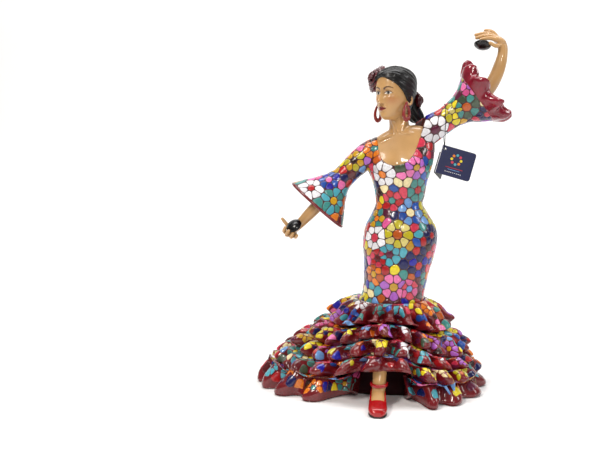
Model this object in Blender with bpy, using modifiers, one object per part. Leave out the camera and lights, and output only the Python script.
"""Flamenco dancer figurine in painted resin, with castanets and a folded swing tag on a thread.

The frame is in metres, +Z up, with the figure facing -Y and the floor at Z = 0. The origin is on the floor
under the dress. Every piece is one object, and the two moving pieces hang from empties on their axes.
"""

from math import acos, atan2, ceil, cos, exp, hypot, pi, radians, sin

import bmesh
import bpy
from mathutils import Matrix, Vector

MM = 0.001
GAP = 0.4 * MM  # clearance left between glued castings

# Driving heights and thicknesses
FELT_TOP = 1.2 * MM
PLATE_TOP = 4.2 * MM
CORE_TOP = 90 * MM
CORE_WALL = 7 * MM
PIN_RADIUS = 1.5 * MM
PIN_HOLE_RADIUS = 1.9 * MM
CARD = 0.5 * MM
CARD_WIDTH = 39 * MM
BACK_WIDTH = 35 * MM  # the back leaf is a little narrower than the cover
CARD_HEIGHT = 32 * MM
THREAD_RADIUS = 0.4 * MM

# The skirt is drawn round this upright axis. A reach is (left, right, front, back), in millimetres.
SKIRT_AXIS = Vector((6, 0, 0)) * MM
CORE_BOTTOM_REACH = (116, 86, 52, 66)
CORE_TOP_REACH = (30, 30, 26, 28)
SOCKET_REACH = (37.2, 37.2, 33.7, 33.7)  # the dress stands in a socket of the first flounce
SOCKET_HEIGHTS = (89.9, 97)
# Each tier: waves, shoulder reach, shoulder height, hem height; heights are also (left, right, front, back).
TIERS = (
    (17, (65, 64, 46, 46), (82, 75, 85, 84), (74, 67, 79, 76)),
    (20, (85, 81, 60, 59), (67, 50, 72, 68), (58.5, 41.5, 63.5, 60)),
    (20, (103, 86, 73, 71), (53, 38, 54.5, 51), (44.5, 32, 45.5, 42.5)),
    (20, (124, 94, 85, 83), (35, 26, 38.5, 34.5), (26, 18.5, 28, 25)),
    (18, (145, 100, 94, 92), (21, 14, 21, 18), (1.2, 1.2, 1.2, 1.2)),
)
ARCH_LIFTS = (0.0, 3.0, 6.0, 9.0, 0.0)  # how far each flounce rises over the stepping foot
FRONT_DIPS = (8.0, 10.0, 8.0, 4.0, 0.0)  # how far each flounce hangs lower on both sides of the foot
DIP_ANGLE, DIP_WIDTH = radians(48), radians(26)
WAVE_REACH = 4.2  # how far a flounce's folds swing in and out
FOLD_LIFT = 2.2  # how far a fold's crest lifts the hem
ARCH_ANGLE = radians(-93.5)  # where the skirt parts over the stepping foot
ARCH_HALF_WIDTH = radians(16)

# The fitted dress, from hem joint to neck: height, middle X, half width, middle Y, half depth, tilt about Y.
DRESS_SECTIONS = (
    (90.4, 6, 36.5, 0, 33, 0),
    (97.5, 6.8, 36, 0, 32.4, 0),
    (103, 8.6, 34.6, 0, 31, 0),
    (115, 10.6, 34.6, 0, 30, 0),
    (129, 12, 36.2, 0.5, 31, 0),
    (143, 14.1, 38.3, 1.5, 33, 0),
    (156, 15, 40.5, 2.5, 34.5, 0),
    (169, 15.9, 40.6, 2.5, 34, 0),
    (180, 15.8, 38, 2, 31, 0),
    (190, 15.1, 32.5, 1, 27, 0),
    (197, 14.8, 28.8, 0.5, 24, 0),
    (204, 14, 25.6, 0, 21.5, 0),
    (213, 14.9, 27, -0.5, 22, 0),
    (224, 14.7, 28.8, -1, 23.5, 0),
    (236, 14.5, 32.4, -1, 25, 2),
    (248, 14, 36.5, -0.5, 25, 4),
    (260, 13.5, 38.6, 0.5, 22.5, 7),
    (270, 13.5, 38, 1.5, 18.5, 10),
    (278, 14, 33, 2, 14.5, 12),
    (284, 14.5, 25, 2.5, 11.5, 12),
    (288, 15, 14, 3, 8, 11),
)
# Rounded forms that stand out of the dress: X, Y, Z of the middle, radius of the bump, how far it stands out.
DRESS_BUMPS = (
    (-3, -24, 247, 11, 7.5),
    (28, -24, 249, 11, 7.5),
    (0, 36, 160, 20, 5),
    (30, 36, 160, 20, 5),
    (12, -32, 178, 16, 1.5),
    (-6, -30, 130, 16, 3),
    (24, -30, 126, 14, 2),
)

# The scoop neckline, seen from the front: half width at each height, from the lowest point up.
NECKLINE = ((0, 247), (9, 249.5), (15.5, 255), (19, 262), (21.5, 271), (24, 283), (26, 300))
NECKLINE_X = 8.5
NECKLINE_LEAN = 0.13  # how far the scoop's middle moves to +X for each unit of height
NECKLINE_BACK = 6.0

HEAD_CENTRE = Vector((8.5, 1, 325)) * MM
HEAD_TURN = radians(-40)
# The head above and below that point: height, half width, reach to the face, reach to the back.
HEAD_SECTIONS = (
    (-29, 5, 17, -7),
    (-26.5, 8.5, 20, 0),
    (-21, 12.5, 21.5, 9),
    (-14, 15.5, 22.5, 15),
    (-6, 17.2, 23, 20),
    (3, 18.2, 23.5, 22.5),
    (11, 18, 23, 23),
    (18, 15.5, 20, 20.5),
    (23, 11, 14, 15),
    (26, 4, 6, 7),
)
# The neck from the shoulders up: height, middle X, middle Y, radius.
NECK_SECTIONS = (
    (268, 13, 4, 15),
    (281, 13.5, 3.5, 13.5),
    (289, 13.2, 3, 11.2),
    (298, 12.2, 2.8, 10.2),
    (307, 11, 3, 9.8),
)
# The hair's tail behind the left shoulder: X, Y, Z, radius.
TAIL_PATH = (
    (20, 17, 324, 9),
    (24, 18.5, 315, 8.6),
    (28.5, 19, 306, 7.6),
    (33, 19.5, 299, 6.8),
    (35, 20, 294, 5),
)

# Arms: each point of a sleeve is X, Y, Z of its middle, then its radius in the XZ plane and its depth radius.
SLEEVE_RIGHT = (
    (-8, 1, 263, 15, 13),
    (-20, 0, 258, 14.5, 13.5),
    (-34, -1.5, 247, 13, 12.5),
    (-46, -3, 235, 12.4, 12),
    (-53, -4, 228, 14.5, 13),
    (-61, -5, 219.5, 21, 16),
    (-69.5, -6, 210, 30, 20.5),
    (-76.5, -6.5, 202, 37.2, 25),
)
SLEEVE_LEFT = (
    (34, 2, 277, 15, 12),
    (47, 2, 286, 15.5, 12.5),
    (62, 2, 295.5, 13.6, 12.2),
    (73, 2, 303, 14.4, 13),
    (83, 2, 309.5, 18.5, 16),
    (93, 1.5, 316, 26.5, 20),
    (101, 1, 322, 32.5, 24),
)
FRILL_LEFT = ((105.4, 0.6, 325.4, 35, 27), (109.6, 0.2, 328.8, 36.8, 29.5))
FRILL_WAVES = 9
FRILL_SWING = 2.6
SLEEVE_WALL = 2.4  # wall of the open bell
BELL_FROM = 4  # the point of a sleeve's path where it turns hollow
FOREARM_RIGHT = (
    (-59, -5, 219.5, 7.4),
    (-72, -7, 206, 7.2),
    (-84, -9, 193.5, 6.6),
    (-93, -11, 184, 5.6),
    (-97, -12, 180, 5.2),
    (-101.5, -12.6, 175, 4.2),
)
FOREARM_LEFT = (
    (94, 1.5, 314, 7.6),
    (106, 1, 326, 7.4),
    (114.5, 0.5, 340, 7.2),
    (119.5, 0, 354, 6.6),
    (122, 0, 366, 5.4),
    (121.6, 0, 374, 5.2),
    (118.6, 0, 380.5, 4.4),
)
# Hands: a palm (X, Y, Z, half length, half thickness, half width), then each finger's radius and joints.
PALM_LEFT = (118, 0, 380, 8.5, 4.2, 7.6)
PALM_LEFT_TURN = radians(28)
FINGERS_LEFT = (
    (2.3, (118, 4.5, 382), (111.5, 5.8, 389.8), (104.5, 6, 391.6)),
    (2.3, (117, 1.8, 382), (106, 2.2, 388), (94, 2.2, 386.6)),
    (2.3, (117, -1.6, 381), (105.5, -1.9, 385.2), (94.5, -1.9, 383)),
    (2.2, (117.5, -4, 379), (107.5, -5.8, 382), (98.5, -5.8, 380.6)),
    (2.2, (119.5, -3, 376), (114, -7.2, 373.6), (108, -7.6, 376.6)),
)
PALM_RIGHT = (-104, -13, 172.5, 9, 4, 7.4)
PALM_RIGHT_TURN = radians(-38)
FINGERS_RIGHT = (
    (2.2, (-104, -12, 174), (-110.5, -10, 180), (-115.5, -9, 186)),
    (2.3, (-105, -12.5, 171.5), (-112.5, -17, 172.5), (-110.5, -23.5, 178)),
    (2.3, (-104.5, -13, 170), (-109.5, -21.5, 169.5), (-106.5, -26.5, 174.5)),
    (2.3, (-102.7, -13.1, 169.4), (-104.2, -22.1, 167.3), (-101.8, -26.8, 171.3)),
    (2.2, (-100.8, -12.6, 170.1), (-99.6, -20.7, 167.2), (-97.4, -25.7, 169.6)),
)
HAND_VOXEL = 0.6 * MM
HAND_TRIANGLES = 900
CASTANET_RADIUS = 9.0
CASTANET_DEPTH = 4.2
CASTANET_GAP = 0.6
# Middle of each pair and the direction that the two shells face.
CASTANETS_RIGHT = ((-101.4, -19.8, 179.8), (-0.36, -0.60, 0.71))
CASTANETS_LEFT = ((100.5, -1.5, 375.4), (-0.18, -0.34, -0.92))

# The stepping leg, from the shin down to the ankle: X, Y, Z, radius across, radius fore and aft.
LEG = (
    (-4.5, -72.5, 40, 7.6, 8.2),
    (-4.8, -76, 31, 7.2, 7.8),
    (-5.2, -79.5, 24, 7, 7.6),
    (-5.4, -80, 20.5, 7.2, 8.5),
)
LEG_TOP = 36.4  # just under the flounce that the leg is glued to
FOOT_X = -6.2
HEEL_Y = -74.0
TOE_Y = -120.0
# The foot along its length: share from heel to toe, half width, sole height, instep height.
FOOT_PROFILE = (
    (0, 6, 12, 21),
    (0.18, 7.2, 11, 20.4),
    (0.4, 7.6, 6.6, 17.6),
    (0.6, 8.6, 2.6, 13.6),
    (0.8, 9, 1.6, 10.4),
    (0.93, 7.4, 1.6, 8.4),
    (1, 4, 1.9, 5.6),
)
SOLE = 1.3
MOUTH_SHARE = 0.76  # the shoe's front closes over the foot beyond this share of its length

# Hair ornaments: middle, radius across, half thickness, and the direction that the flower faces.
FLOWER_FRONT = ((-12.5, 3.5, 341), 13.8, 6.0, (-0.80, -0.35, 0.32))
FLOWER_BACK = ((33.5, 15.5, 318), 9.4, 4.6, (0.80, 0.20, 0.10))
EARRING_RADIUS = 5.6
EARRING_WIRE = 1.7
EARRING_STRETCH = 1.45
EARRING_LEFT = (20.4, -14.2, 303.8)
EARRING_RIGHT = (-10.6, 14.2, 303.8)

# The swing tag hangs from a thread that loops over the raised arm.
LOOP_CENTRE = Vector((62, 2, 295.2)) * MM
LOOP_RADIUS = 18.2 * MM
TAG_CORNER = Vector((60, -0.5, 269.3)) * MM
TAG_ROLL = radians(16)
TAG_LEAN = radians(-12)
TAG_OPEN = radians(70)
HOLE_INSET = 4 * MM
HOLE_RADIUS = 1.6 * MM
CORNER_ROUND = 3 * MM
FOLD_CLEARANCE = 0.7 * MM
NOTCH = 8 * MM

MATERIALS = {
    "glazed_mosaic": ((0.30, 0.05, 0.12), 0.18, 0.0),
    "maroon_glaze": ((0.19, 0.015, 0.02), 0.2, 0.0),
    "skin_glaze": ((0.72, 0.45, 0.24), 0.25, 0.0),
    "black_glaze": ((0.01, 0.01, 0.012), 0.18, 0.0),
    "flower_red": ((0.2, 0.01, 0.02), 0.3, 0.0),
    "shoe_red": ((0.5, 0.02, 0.02), 0.2, 0.0),
    "raw_resin": ((0.75, 0.72, 0.66), 0.6, 0.0),
    "pin_steel": ((0.5, 0.5, 0.5), 0.35, 1.0),
    "green_felt": ((0.02, 0.05, 0.03), 0.95, 0.0),
    "tag_card": ((0.01, 0.015, 0.06), 0.35, 0.0),
    "thread": ((0.01, 0.01, 0.01), 0.7, 0.0),
}


def clear_scene():
    for old in list(bpy.data.objects):
        bpy.data.objects.remove(old)


def make_collection(name, hidden=False):
    made = bpy.data.collections.new(name)
    bpy.context.scene.collection.children.link(made)
    made.hide_render = hidden
    return made


def make_material(name):
    colour, roughness, metallic = MATERIALS[name]
    made = bpy.data.materials.new(name)
    made.use_nodes = True
    shader = made.node_tree.nodes["Principled BSDF"]
    shader.inputs["Base Color"].default_value = (*colour, 1)
    shader.inputs["Roughness"].default_value = roughness
    shader.inputs["Metallic"].default_value = metallic
    return made


clear_scene()
FIGURINE = make_collection("flamenco_figurine")
CUTTERS = make_collection("cutters", hidden=True)
PAINTS = {name: make_material(name) for name in MATERIALS}


def add_object(name, data, paint=None):
    """A new object of the figurine, or a cutter when it has no paint."""
    made = bpy.data.objects.new(name, data)
    if paint is None:
        CUTTERS.objects.link(made)
        made.hide_render = True
        made.display_type = "WIRE"
    else:
        FIGURINE.objects.link(made)
        data.materials.clear()
        data.materials.append(PAINTS[paint])
    return made


def mesh_object(name, bm, paint=None, sharp_degrees=40):
    bmesh.ops.recalc_face_normals(bm, faces=bm.faces)
    mesh = bpy.data.meshes.new(name)
    bm.to_mesh(mesh)
    bm.free()
    mesh.shade_smooth()
    mesh.set_sharp_from_angle(angle=radians(sharp_degrees))
    return add_object(name, mesh, paint)


def loft(name, rings, paint=None, round_trip=False):
    """A closed skin through rings of points: capped at both ends, or joined last to first on a round trip."""
    bm = bmesh.new()
    rows = [[bm.verts.new(point) for point in ring] for ring in rings]
    pairs = list(zip(rows, rows[1:]))
    if round_trip:
        pairs.append((rows[-1], rows[0]))
    else:
        bm.faces.new(rows[0])
        bm.faces.new(rows[-1])
    for low, high in pairs:
        for i, corner in enumerate(low):
            j = (i + 1) % len(low)
            bm.faces.new((corner, low[j], high[j], high[i]))
    return mesh_object(name, bm, paint)


def apply_modifiers(target):
    graph = bpy.context.evaluated_depsgraph_get()
    mesh = bpy.data.meshes.new_from_object(target.evaluated_get(graph))
    target.modifiers.clear()
    target.data = mesh


def tidy_mesh(target):
    """Welds stray points and splits every face into triangles, so that the next cut is exact."""
    bm = bmesh.new()
    bm.from_mesh(target.data)
    bmesh.ops.remove_doubles(bm, verts=bm.verts, dist=0.02 * MM)
    bmesh.ops.dissolve_degenerate(bm, edges=bm.edges, dist=0.02 * MM)
    bmesh.ops.triangulate(bm, faces=bm.faces)
    bm.to_mesh(target.data)
    bm.free()


def boolean(target, tool, operation):
    """Cuts or joins at once, and removes the tool."""
    tidy_mesh(target)
    tidy_mesh(tool)
    modifier = target.modifiers.new(operation.lower(), "BOOLEAN")
    modifier.operation = operation
    modifier.object = tool
    bpy.context.view_layer.update()
    apply_modifiers(target)
    tidy_mesh(target)
    bpy.data.objects.remove(tool)
    return target


def keep_largest(target):
    """Removes the loose chips that a cut leaves, and keeps the largest body."""
    bm = bmesh.new()
    bm.from_mesh(target.data)
    unseen = set(bm.verts)
    bodies = []
    while unseen:
        waiting = [unseen.pop()]
        body = set(waiting)
        while waiting:
            corner = waiting.pop()
            for edge in corner.link_edges:
                other = edge.other_vert(corner)
                if other in unseen:
                    unseen.remove(other)
                    body.add(other)
                    waiting.append(other)
        bodies.append(body)
    bodies.sort(key=lambda body: max(corner.co.z for corner in body) - min(corner.co.z for corner in body))
    for body in bodies[:-1]:
        bmesh.ops.delete(bm, geom=list(body), context="VERTS")
    bm.to_mesh(target.data)
    bm.free()


def cut(target, tool):
    return boolean(target, tool, "DIFFERENCE")


def join(target, tool):
    return boolean(target, tool, "UNION")


def keep_inside(target, tool):
    return boolean(target, tool, "INTERSECT")


def ellipse(centre, side, front, half_side, half_front, count):
    """A ring of points in the plane of two directions."""
    ring = []
    for i in range(count):
        angle = 2 * pi * i / count
        ring.append(centre + side * (half_side * cos(angle)) + front * (half_front * sin(angle)))
    return ring


def smooth(share):
    share = min(max(share, 0), 1)
    return share * share * (3 - 2 * share)


# ---------------------------------------------------------------- dress


def dress_point(section, angle, grow=0.0):
    """A point of the fitted dress at one section, in metres; grow pushes it outwards, in millimetres."""
    height, middle_x, half_width, middle_y, half_depth, tilt = section
    lean = radians(tilt)
    across = (half_width + grow) * cos(angle)
    deep = (half_depth + grow) * sin(angle)
    place = Vector((middle_x + across * cos(lean), middle_y + deep, height + across * sin(lean)))
    outward = Vector((cos(angle) / half_width, sin(angle) / half_depth, 0)).normalized()
    for x, y, z, radius, stands in DRESS_BUMPS:
        distance = (place - Vector((x, y, z))).length
        place += outward * stands * exp(-((distance / radius) ** 2))
    return place * MM


def dress_loft(name, grow=0.0, paint=None, count=28):
    rings = []
    for section in DRESS_SECTIONS:
        rings.append([dress_point(section, 2 * pi * i / count, grow) for i in range(count)])
    for ring, end in ((rings[0], -grow), (rings[-1], grow)):
        for point in ring:
            point.z += end * MM
    return loft(name, rings, paint)


def neckline_cutter(name, inset=0.0):
    """A scoop-shaped block that stands in front of the neck and reaches back past it."""
    outline = []
    for half, height in reversed(NECKLINE):
        middle = NECKLINE_X + NECKLINE_LEAN * (height - NECKLINE[0][1])
        outline.append((middle + max(half - inset, 0), height + inset))
    for half, height in NECKLINE[1:]:
        middle = NECKLINE_X + NECKLINE_LEAN * (height - NECKLINE[0][1])
        outline.append((middle - max(half - inset, 0), height + inset))
    front, back = -60.0, NECKLINE_BACK - inset
    rings = []
    for y in (front, back):
        rings.append([Vector((x, y, z)) * MM for x, z in outline])
    return loft(name, rings)


# ---------------------------------------------------------------- skirt


def by_direction(values, angle):
    """Blends (left, right, front, back) values for a direction round the skirt's axis."""
    left, right, front, back = values
    sideways = right if cos(angle) > 0 else left
    forward = back if sin(angle) > 0 else front
    return sideways * cos(angle) ** 2 + forward * sin(angle) ** 2


def skirt_point(reach, angle, height, extra=0.0):
    """A point on the quarter-ellipse outline of a reach, at a height; extra moves it outwards."""
    left, right, front, back = reach
    across = (right if cos(angle) > 0 else left) + extra
    forward = (back if sin(angle) > 0 else front) + extra
    return SKIRT_AXIS + Vector((across * cos(angle), forward * sin(angle), height)) * MM


def core_reach(height):
    """The straight-sided core's reach at a height in millimetres."""
    share = height * MM / CORE_TOP
    return tuple(low + (high - low) * share for low, high in zip(CORE_BOTTOM_REACH, CORE_TOP_REACH))


def from_front(angle):
    """The angle between a direction and the middle of the arch over the stepping foot."""
    return abs((angle - ARCH_ANGLE + pi) % (2 * pi) - pi)


def arch_share(angle):
    """1 over the stepping foot, falling to 0 beside it."""
    return 1 - smooth((from_front(angle) / ARCH_HALF_WIDTH - 0.55) / 1.0)


def front_lift(index, angle):
    """How far a flounce stands above its plain height: up over the stepping foot, down beside it."""
    dip = exp(-(((from_front(angle) - DIP_ANGLE) / DIP_WIDTH) ** 2))
    return ARCH_LIFTS[index] * arch_share(angle) - FRONT_DIPS[index] * dip


def fold(waves, index, angle):
    """The swing of a flounce's folds at an angle, from -1 to 1."""
    return sin(waves * angle + 0.9 * index + 0.5 * sin(3 * angle + index))


def hem_height(index, angle):
    return by_direction(TIERS[index][3], angle) + front_lift(index, angle)


def tier_profile(index, angle):
    """One flounce's section at an angle: from the core out over the shoulder to the hem, and back under."""
    waves, shoulder, shoulder_heights, _ = TIERS[index]
    swing = WAVE_REACH * fold(waves, index, angle)
    resting = index == len(TIERS) - 1
    top = by_direction(shoulder_heights, angle) + front_lift(index, angle)
    hem = hem_height(index, angle)
    if index == 0:
        root, attach = SOCKET_REACH, SOCKET_HEIGHTS[1]
        points = [skirt_point(SOCKET_REACH, angle, height) for height in SOCKET_HEIGHTS]
    else:
        root, attach = TIERS[index - 1][1], hem_height(index - 1, angle) - 2
        points = [skirt_point(core_reach(attach + 1.5), angle, attach + 1.5, GAP / MM)]
    points.append(skirt_point(root, angle, attach, 0 if index else 3))
    middle = tuple(a + (b - a) * 0.55 for a, b in zip(root, shoulder))
    points.append(skirt_point(middle, angle, top + 0.42 * (attach - top) + 0.8, 0.35 * swing))
    points.append(skirt_point(shoulder, angle, top + 0.6, swing - 2.5))
    points.append(skirt_point(shoulder, angle, top - 3, swing + 0.6))
    if resting:
        points.append(skirt_point(shoulder, angle, hem, swing))
        points.append(skirt_point(core_reach(hem), angle, hem, GAP / MM))
        return points
    points.append(skirt_point(shoulder, angle, hem + FOLD_LIFT * max(swing / WAVE_REACH, 0), swing))
    points.append(skirt_point(shoulder, angle, hem + 1, -8))
    points.append(skirt_point(core_reach(hem + 1.5), angle, hem + 1.5, GAP / MM))
    return points


def build_tier(index):
    name = f"skirt_flounce_{index + 1}"
    waves = TIERS[index][0]
    columns = waves * 5
    if index < len(TIERS) - 1:
        angles = [2 * pi * i / columns for i in range(columns)]
        return loft(name, [tier_profile(index, angle) for angle in angles], "maroon_glaze", round_trip=True)
    start = ARCH_ANGLE + ARCH_HALF_WIDTH
    sweep = 2 * pi - 2 * ARCH_HALF_WIDTH
    angles = [start + sweep * i / columns for i in range(columns + 1)]
    return loft(name, [tier_profile(index, angle) for angle in angles], "maroon_glaze")


def build_core():
    count = 40
    outer_low, outer_high = PLATE_TOP / MM + 0.4, CORE_TOP / MM - 0.4
    wall = CORE_WALL / MM
    levels = (
        (outer_high, 0),
        (outer_low, 0),
        (outer_low, -wall),
        (outer_high - 2.5 * wall, -wall),
    )
    rings = []
    for height, extra in levels:
        reach = core_reach(height)
        rings.append([skirt_point(reach, 2 * pi * i / count, height, extra) for i in range(count)])
    return loft("skirt_core", rings, "raw_resin")


def build_base():
    count = 40
    low, high = FELT_TOP / MM + 0.3, PLATE_TOP / MM
    plate = []
    for height in (low, high):
        plate.append([skirt_point(core_reach(high), 2 * pi * i / count, height, -0.5) for i in range(count)])
    loft("base_plate", plate, "raw_resin")
    felt = []
    for height in (0, FELT_TOP / MM):
        felt.append([skirt_point(core_reach(high), 2 * pi * i / count, height, -3) for i in range(count)])
    loft("base_felt", felt, "green_felt")


# ---------------------------------------------------------------- arms and hands


def tube_rings(points, count, grow=0.0):
    """Rings across a path of (X, Y, Z, radius) or (X, Y, Z, radius in the XZ plane, radius in depth)."""
    places = [Vector(point[:3]) for point in points]
    rings = []
    for i, point in enumerate(points):
        ahead = places[min(i + 1, len(places) - 1)] - places[max(i - 1, 0)]
        along = ahead.normalized()
        depth = Vector((0, 1, 0))
        depth = (depth - along * depth.dot(along)).normalized()
        side = along.cross(depth)
        radius, depth_radius = point[3] + grow, point[-1] + grow
        rings.append([p * MM for p in ellipse(places[i], side, depth, radius, depth_radius, count)])
    return rings


def open_bell(name, path, end):
    """A sleeve up to one point of its path: solid at the shoulder, and a thin bell from the elbow on."""
    count = 24
    outer = tube_rings(path, count)[:end]
    inner = tube_rings(path, count, -SLEEVE_WALL)[BELL_FROM:end]
    return loft(name, outer + inner[::-1], "glazed_mosaic")


def frill(name, path, start):
    """A crimped band that carries a bell on, from one of the points of its path."""
    count = FRILL_WAVES * 6
    shift = (Vector(path[start][:3]) - Vector(path[start - 1][:3])).normalized() * GAP
    skins = []
    for grow in (0, -SLEEVE_WALL):
        rings = tube_rings(path, count, grow)[start:]
        rings[0] = [point + shift for point in rings[0]]
        for level, ring in enumerate(rings):
            centre = sum(ring, Vector()) / count
            share = level / (len(rings) - 1)
            for i, point in enumerate(ring):
                push = FRILL_SWING * share * sin(2 * pi * FRILL_WAVES * i / count) * MM
                ring[i] = point + (point - centre).normalized() * push
        skins.append(rings)
    return loft(name, skins[0] + skins[1][::-1], "maroon_glaze", round_trip=True)


def finger(joints, radius):
    """A tapering round finger through its joints."""
    path = [(*joints[0], radius * 1.05)]
    path += [(*point, radius) for point in joints[1:]]
    tip, before = Vector(joints[-1]), Vector(joints[-2])
    end = tip + (tip - before).normalized() * radius * 0.7
    path.append((*end, radius * 0.45))
    return loft("finger", tube_rings(path, 8))


def ellipsoid(name, centre, radii, turn=0.0, paint=None):
    """A stretched ball, turned about the Y axis."""
    bm = bmesh.new()
    bmesh.ops.create_uvsphere(bm, u_segments=16, v_segments=8, radius=1)
    shape = Matrix.Translation(Vector(centre) * MM) @ Matrix.Rotation(turn, 4, "Y")
    shape = shape @ Matrix.Diagonal((*(r * MM for r in radii), 1))
    bmesh.ops.transform(bm, matrix=shape, verts=bm.verts)
    return mesh_object(name, bm, paint)


def build_forearm(name, path, palm, palm_turn, fingers):
    """Forearm, palm and fingers, melted into one casting and thinned to a light mesh."""
    arm = loft(name, tube_rings(path, 14), "skin_glaze")
    pieces = [ellipsoid("palm", palm[:3], (palm[3], palm[5], palm[4]), palm_turn)]
    pieces += [finger(joints, radius) for radius, *joints in fingers]
    bm = bmesh.new()
    bm.from_mesh(arm.data)
    for piece in pieces:
        bm.from_mesh(piece.data)
        bpy.data.objects.remove(piece)
    bm.to_mesh(arm.data)
    bm.free()
    melt = arm.modifiers.new("melt", "REMESH")
    melt.mode = "VOXEL"
    melt.voxel_size = HAND_VOXEL
    apply_modifiers(arm)
    thin = arm.modifiers.new("thin", "DECIMATE")
    thin.ratio = HAND_TRIANGLES / (2 * len(arm.data.polygons))
    apply_modifiers(arm)
    return arm


def castanet_profile(grow=0.0):
    """Half of a shell's section, from the top of its dome down to the rim and in under the hollow."""
    r, depth = CASTANET_RADIUS + grow, CASTANET_DEPTH + grow
    return (
        (0, depth),
        (0.5 * r, 0.86 * depth),
        (0.85 * r, 0.5 * depth),
        (r, 0.12 * depth),
        (r, -grow),
        (0.8 * r, -grow),
        (0.5 * r, 0.22 * depth - grow),
        (0, 0.3 * depth - grow),
    )


def castanet_shell(name, pair, side, grow=0.0, paint="black_glaze"):
    centre, facing = Vector(pair[0]), Vector(pair[1]).normalized()
    bm = bmesh.new()
    steps = 16
    rings = []
    for radius, height in castanet_profile(grow)[1:-1]:
        middle = Vector((0, 0, height))
        rings.append(ellipse(middle, Vector((1, 0, 0)), Vector((0, 1, 0)), radius, radius, steps))
    rows = [[bm.verts.new(point * MM) for point in ring] for ring in rings]
    for ends, height in ((rows[0], castanet_profile(grow)[0][1]), (rows[-1], castanet_profile(grow)[-1][1])):
        pole = bm.verts.new(Vector((0, 0, height)) * MM)
        for i, corner in enumerate(ends):
            bm.faces.new((corner, ends[(i + 1) % steps], pole))
    for low, high in zip(rows, rows[1:]):
        for i, corner in enumerate(low):
            j = (i + 1) % steps
            bm.faces.new((corner, low[j], high[j], high[i]))
    turn = (facing * side).to_track_quat("Z", "Y").to_matrix().to_4x4()
    offset = centre + facing * side * CASTANET_GAP / 2
    bmesh.ops.transform(bm, matrix=Matrix.Translation(offset * MM) @ turn, verts=bm.verts)
    return mesh_object(name, bm, paint)


def build_castanets(hand, name, pair):
    """Two shells face to face, and the room for them in the hand."""
    for side in (1, -1):
        cut(hand, castanet_shell("room", pair, side, 0.45, None))
        castanet_shell(f"castanet_{name}_{'outer' if side > 0 else 'inner'}", pair, side)
    keep_largest(hand)


def pin(name, start, end, radius=PIN_RADIUS, paint="pin_steel"):
    """A straight steel dowel between two points in millimetres."""
    a, b = Vector(start) * MM, Vector(end) * MM
    bm = bmesh.new()
    length = (b - a).length
    bmesh.ops.create_cone(bm, cap_ends=True, segments=12, radius1=radius, radius2=radius, depth=length)
    place = Matrix.Translation((a + b) / 2) @ (b - a).to_track_quat("Z", "Y").to_matrix().to_4x4()
    bmesh.ops.transform(bm, matrix=place, verts=bm.verts)
    return mesh_object(name, bm, paint)


def dowel(name, start, end, *castings):
    """A dowel with a hole for it in each casting that it joins."""
    a, b = Vector(start), Vector(end)
    reach = (b - a).normalized() * GAP / MM
    for casting in castings:
        cut(casting, pin("hole", a - reach, b + reach, PIN_HOLE_RADIUS, None))
    return pin(name, start, end)


# ---------------------------------------------------------------- head


def head_place():
    return Matrix.Translation(HEAD_CENTRE) @ Matrix.Rotation(HEAD_TURN, 4, "Z")


def head_loft(name, grow=0.0, paint=None, count=20):
    """The skull and jaw: the face looks along -Y before the head is turned."""
    place = head_place()
    rings = []
    for height, half, face, back in HEAD_SECTIONS:
        ring = []
        stretched = height * (1 + grow / 28)
        for i in range(count):
            angle = 2 * pi * i / count
            reach = back if sin(angle) > 0 else face
            point = Vector(((half + grow) * cos(angle), (reach + grow) * sin(angle), stretched))
            ring.append(place @ (point * MM))
        rings.append(ring)
    return loft(name, rings, paint)


def neck_loft(name, grow=0.0):
    rings = []
    for height, middle_x, middle_y, half in NECK_SECTIONS:
        end = (height == NECK_SECTIONS[-1][0]) - (height == NECK_SECTIONS[0][0])
        centre = Vector((middle_x, middle_y, height + end * grow))
        ring = ellipse(centre, Vector((1, 0, 0)), Vector((0, 1, 0)), half + grow, half + grow, 20)
        rings.append([point * MM for point in ring])
    return loft(name, rings)


def build_head():
    """Head, neck and the bare top of the chest are one casting that plugs into the neckline."""
    chest = dress_loft("head_and_bust", grow=-0.3, paint="skin_glaze")
    keep_inside(chest, neckline_cutter("scoop", inset=0.4))
    join(chest, neck_loft("neck"))
    join(chest, head_loft("skull"))
    nose = ellipsoid("nose", (0, 0, 0), (2.4, 3.4, 5.2))
    nose.matrix_world = head_place() @ Matrix.Translation(Vector((0, -22.5, -3)) * MM)
    bpy.context.view_layer.update()
    join(chest, nose)


def tail_loft(name, grow=0.0):
    return loft(name, tube_rings(TAIL_PATH, 12, grow))


def build_hair():
    """A cap over the skull, open at the face, with a tail that falls behind the left shoulder."""
    hair = head_loft("hair", grow=3.0, paint="black_glaze")
    face_block = bmesh.new()
    bmesh.ops.create_cube(face_block, size=60 * MM)
    face = mesh_object("face_block", face_block)
    lean = Matrix.Rotation(radians(-38), 4, "X")
    face.matrix_world = head_place() @ Matrix.Translation(Vector((0, -31.5, -19.5)) * MM) @ lean
    bpy.context.view_layer.update()
    cut(hair, face)
    join(hair, tail_loft("tail"))
    cut(hair, head_loft("skull_room", grow=0.4))
    cut(hair, neck_loft("neck_room", grow=0.4))
    cut(hair, dress_loft("dress_room", grow=0.5))


def build_flower(name, spec):
    """The outer shape of a rose, pressed against the hair and its tail."""
    centre, radius, half_thickness, facing = spec
    shape = ellipsoid(name, (0, 0, 0), (radius, radius, half_thickness), paint="flower_red")
    turn = Vector(facing).to_track_quat("Z", "Y").to_matrix().to_4x4()
    shape.data.transform(Matrix.Translation(Vector(centre) * MM) @ turn)
    cut(shape, head_loft("hair_room", grow=3.4))
    cut(shape, tail_loft("tail_room", grow=0.4))


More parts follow.
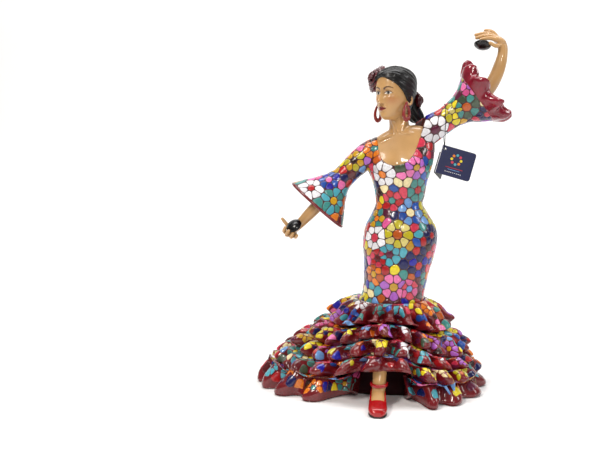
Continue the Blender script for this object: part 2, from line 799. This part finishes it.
def build_earring(name, centre):
    """A painted hoop, longer than it is wide, that hangs square to the face."""
    bm = bmesh.new()
    steps, sides = 16, 8
    rows = []
    for i in range(steps):
        angle = 2 * pi * i / steps
        out = Vector((cos(angle), 0, sin(angle)))
        middle = Vector((0.72 * cos(angle), 0, EARRING_STRETCH * sin(angle))) * EARRING_RADIUS
        ring = ellipse(middle, out, Vector((0, 1, 0)), EARRING_WIRE, EARRING_WIRE * 0.7, sides)
        rows.append([bm.verts.new(point * MM) for point in ring])
    for low, high in zip(rows, rows[1:] + rows[:1]):
        for i, corner in enumerate(low):
            j = (i + 1) % sides
            bm.faces.new((corner, low[j], high[j], high[i]))
    place = Matrix.Translation(Vector(centre) * MM) @ Matrix.Rotation(HEAD_TURN + pi / 2, 4, "Z")
    bmesh.ops.transform(bm, matrix=place, verts=bm.verts)
    mesh_object(name, bm, "shoe_red")


# ---------------------------------------------------------------- leg and shoe


def foot_rings(grow, end_share=1.0):
    """Cross-sections of the foot from the heel to a share of its length."""
    rings = []
    for share, half, sole, instep in FOOT_PROFILE:
        if share > end_share:
            continue
        y = HEEL_Y + (TOE_Y - HEEL_Y) * share - grow * (2 * share - 1)
        centre = Vector((FOOT_X, y, (sole + instep) / 2))
        tall = (instep - sole) / 2 + grow
        ring = ellipse(centre, Vector((1, 0, 0)), Vector((0, 0, 1)), half + grow, tall, 14)
        rings.append([point * MM for point in ring])
    return rings


def block(name, centre, size, tilt=0.0):
    """A box cutter, given in millimetres and tilted about the X axis."""
    bm = bmesh.new()
    bmesh.ops.create_cube(bm, size=1)
    shape = Matrix.Translation(Vector(centre) * MM) @ Matrix.Rotation(tilt, 4, "X")
    shape = shape @ Matrix.Diagonal((*(side * MM for side in size), 1))
    bmesh.ops.transform(bm, matrix=shape, verts=bm.verts)
    return mesh_object(name, bm)


def build_leg_and_shoe():
    leg = loft("leg", tube_rings(LEG, 14), "skin_glaze")
    cut(leg, block("ceiling", (LEG[0][0], LEG[0][1], LEG_TOP + 20), (40, 40, 40)))
    join(leg, loft("foot", foot_rings(-0.9, 0.8)))
    shoe = loft("shoe", foot_rings(0.5), "shoe_red")
    cut(shoe, loft("foot_room", foot_rings(-0.5, 0.8)))
    mouth = (HEEL_Y - TOE_Y) * MOUTH_SHARE
    cut(shoe, block("shoe_mouth", (FOOT_X, HEEL_Y - mouth / 2 + 4, 20.5), (24, mouth, 14), radians(11)))
    cut(shoe, loft("leg_room", tube_rings(LEG, 14, 0.4)))
    cut(shoe, block("ground", (FOOT_X, (HEEL_Y + TOE_Y) / 2, SOLE - 4.8), (40, 80, 11)))
    sole = []
    for height, inset in ((0.0, 1.2), (0.6, 0.5), (SOLE + 0.3, 0.2)):
        outline = []
        for side in (1, -1):
            for share, half, _, _ in FOOT_PROFILE[3:][::side]:
                y = HEEL_Y + (TOE_Y - HEEL_Y) * share + (inset if share == 1 else 0)
                outline.append(Vector((FOOT_X + side * (half - inset), y, height)) * MM)
        sole.append(outline)
    loft("shoe_sole", sole, "black_glaze")
    heel = []
    for height, half, y_front, y_back in ((0, 4.2, -84, -75.5), (5, 4, -83.5, -75.5), (9.4, 5, -85, -74.5)):
        corners = ((half, y_front), (half, y_back), (-half, y_back), (-half, y_front))
        heel.append([Vector((FOOT_X + x, y, height)) * MM for x, y in corners])
    cut(loft("shoe_heel", heel, "black_glaze"), loft("shoe_room", foot_rings(0.9)))
    loft("ankle_strap", strap_rings(), "shoe_red", round_trip=True)


def strap_rings():
    """A flat band round the ankle, a gap clear of the skin."""
    levels = ((20.8, 0.5), (24.2, 0.5), (24.2, 1.7), (20.8, 1.7))
    rings = []
    for height, out in levels:
        share = (height - 20.5) / (24 - 20.5)
        low, high = Vector(LEG[3][:3]), Vector(LEG[2][:3])
        centre = low.lerp(high, share)
        centre.z = height
        ring = ellipse(centre, Vector((1, 0, 0)), Vector((0, 1, 0)), 7.4 + out, 9 + out, 20)
        rings.append([point * MM for point in ring])
    return rings


# ---------------------------------------------------------------- swing tag


def tag_matrix():
    """Places the card's own axes: X from the fold to the free edge, Z up the fold, -Y out of the cover."""
    turn = Matrix.Rotation(TAG_ROLL, 4, "Y") @ Matrix.Rotation(TAG_LEAN, 4, "X")
    return Matrix.Translation(TAG_CORNER) @ turn


def leaf(name, notched):
    """A card leaf hanging down from the origin, with round corners at its free edge.

    One leaf is punched for the thread. The other is notched, so that it clears the thread as it turns.
    """
    width, height, r = BACK_WIDTH if notched else CARD_WIDTH, CARD_HEIGHT, CORNER_ROUND
    outline = [(FOLD_CLEARANCE, -NOTCH if notched else 0), (FOLD_CLEARANCE, -height)]
    for corner_x, corner_z, start in ((width - r, -height + r, -90), (width - r, -r, 0)):
        for step in range(4):
            angle = radians(start + 30 * step)
            outline.append((corner_x + r * cos(angle), corner_z + r * sin(angle)))
    if notched:
        outline += [(FOLD_CLEARANCE + NOTCH, 0), (FOLD_CLEARANCE + NOTCH, -NOTCH)]
    rings = []
    for y in (-CARD / 2, CARD / 2):
        rings.append([Vector((x, y, z)) for x, z in outline])
    made = loft(name, rings, "tag_card")
    if not notched:
        place = Vector((HOLE_INSET, 0, -HOLE_INSET)) / MM
        cut(made, pin("punch", place - Vector((0, 3, 0)), place + Vector((0, 3, 0)), HOLE_RADIUS, None))
    return made


def thread_points():
    """The thread's route: up from the tag's hole, over the raised arm and back down to the hole."""
    hole = tag_matrix() @ Vector((HOLE_INSET, 0, -HOLE_INSET))
    away = Vector((0, hole.y - LOOP_CENTRE.y, hole.z - LOOP_CENTRE.z))
    down = atan2(away.z, away.y)
    open_angle = acos(LOOP_RADIUS / hypot(away.y, away.z))
    steps = ceil((2 * pi - 2 * open_angle) / radians(9))
    start, sweep = down - open_angle, -(2 * pi - 2 * open_angle)
    arc = []
    for i in range(steps + 1):
        angle = start + sweep * i / steps
        arc.append(LOOP_CENTRE + Vector((0, cos(angle), sin(angle))) * LOOP_RADIUS)
    sides = []
    for end, aside in ((arc[0], -0.6 * MM), (arc[-1], 0.6 * MM)):
        foot = hole + Vector((0, aside, 0.3 * MM))
        sides.append([foot.lerp(end, i / 12) for i in range(12)])
    return sides[0] + arc + sides[1][::-1]


def build_thread():
    route = thread_points()
    curve = bpy.data.curves.new("tag_thread", "CURVE")
    curve.dimensions = "3D"
    curve.bevel_depth = THREAD_RADIUS
    curve.bevel_resolution = 1
    curve.use_fill_caps = True
    spline = curve.splines.new("POLY")
    spline.points.add(len(route) - 1)
    for point, place in zip(spline.points, route):
        point.co = (*place, 1)
    return add_object("tag_thread", curve, "thread")


def build_tag():
    """The cover hangs from the thread, and the back leaf is hinged at the fold."""
    swing_axis = bpy.data.objects.new("tag_swing_axis", None)
    swing_axis.location = LOOP_CENTRE
    FIGURINE.objects.link(swing_axis)
    fold_axis = bpy.data.objects.new("tag_fold_axis", None)
    FIGURINE.objects.link(fold_axis)
    fold_axis.parent = swing_axis
    bpy.context.view_layer.update()
    fold_axis.matrix_world = tag_matrix()
    bpy.context.view_layer.update()
    cover = leaf("tag_cover", notched=False)
    cover.parent = fold_axis
    cover.location = (0, -CARD / 2 - 0.2 * MM, 0)
    back = leaf("tag_back_leaf", notched=True)
    back.parent = fold_axis
    back.matrix_local = Matrix.Rotation(TAG_OPEN, 4, "Z") @ Matrix.Translation((0, CARD / 2 + 0.2 * MM, 0))
    thread = build_thread()
    bpy.context.view_layer.update()
    thread.parent = swing_axis
    thread.matrix_parent_inverse = swing_axis.matrix_world.inverted()


# ---------------------------------------------------------------- assembly


def build_figure():
    dress = dress_loft("dress_body", paint="glazed_mosaic")
    cut(dress, neckline_cutter("scoop"))
    cut(dress, neck_loft("neck_room", grow=0.4))
    build_head()
    build_hair()
    build_flower("hair_flower_front", FLOWER_FRONT)
    build_flower("hair_flower_back", FLOWER_BACK)
    build_earring("earring_left", EARRING_LEFT)
    build_earring("earring_right", EARRING_RIGHT)

    sleeve_right = open_bell("sleeve_right", SLEEVE_RIGHT, len(SLEEVE_RIGHT))
    sleeve_left = open_bell("sleeve_left", SLEEVE_LEFT + FRILL_LEFT, len(SLEEVE_LEFT))
    for sleeve in (sleeve_right, sleeve_left):
        cut(sleeve, dress_loft("dress_room", grow=0.6))
    frill("sleeve_left_frill", SLEEVE_LEFT + FRILL_LEFT, len(SLEEVE_LEFT) - 1)

    arm_right = build_forearm("forearm_right", FOREARM_RIGHT, PALM_RIGHT, PALM_RIGHT_TURN, FINGERS_RIGHT)
    arm_left = build_forearm("forearm_left", FOREARM_LEFT, PALM_LEFT, PALM_LEFT_TURN, FINGERS_LEFT)
    build_castanets(arm_right, "right", CASTANETS_RIGHT)
    build_castanets(arm_left, "left", CASTANETS_LEFT)

    core = build_core()
    build_base()
    for index in range(len(TIERS)):
        build_tier(index)
    build_leg_and_shoe()

    dowel("arm_pin_right", (-46, -3.2, 234.5), (-74, -7.2, 204), sleeve_right, arm_right)
    dowel("arm_pin_left", (80, 2, 307), (107, 1, 328), sleeve_left, arm_left)
    dowel("waist_pin", (8, 0, 76), (8, 0, 110), core, dress)


build_figure()
build_tag()
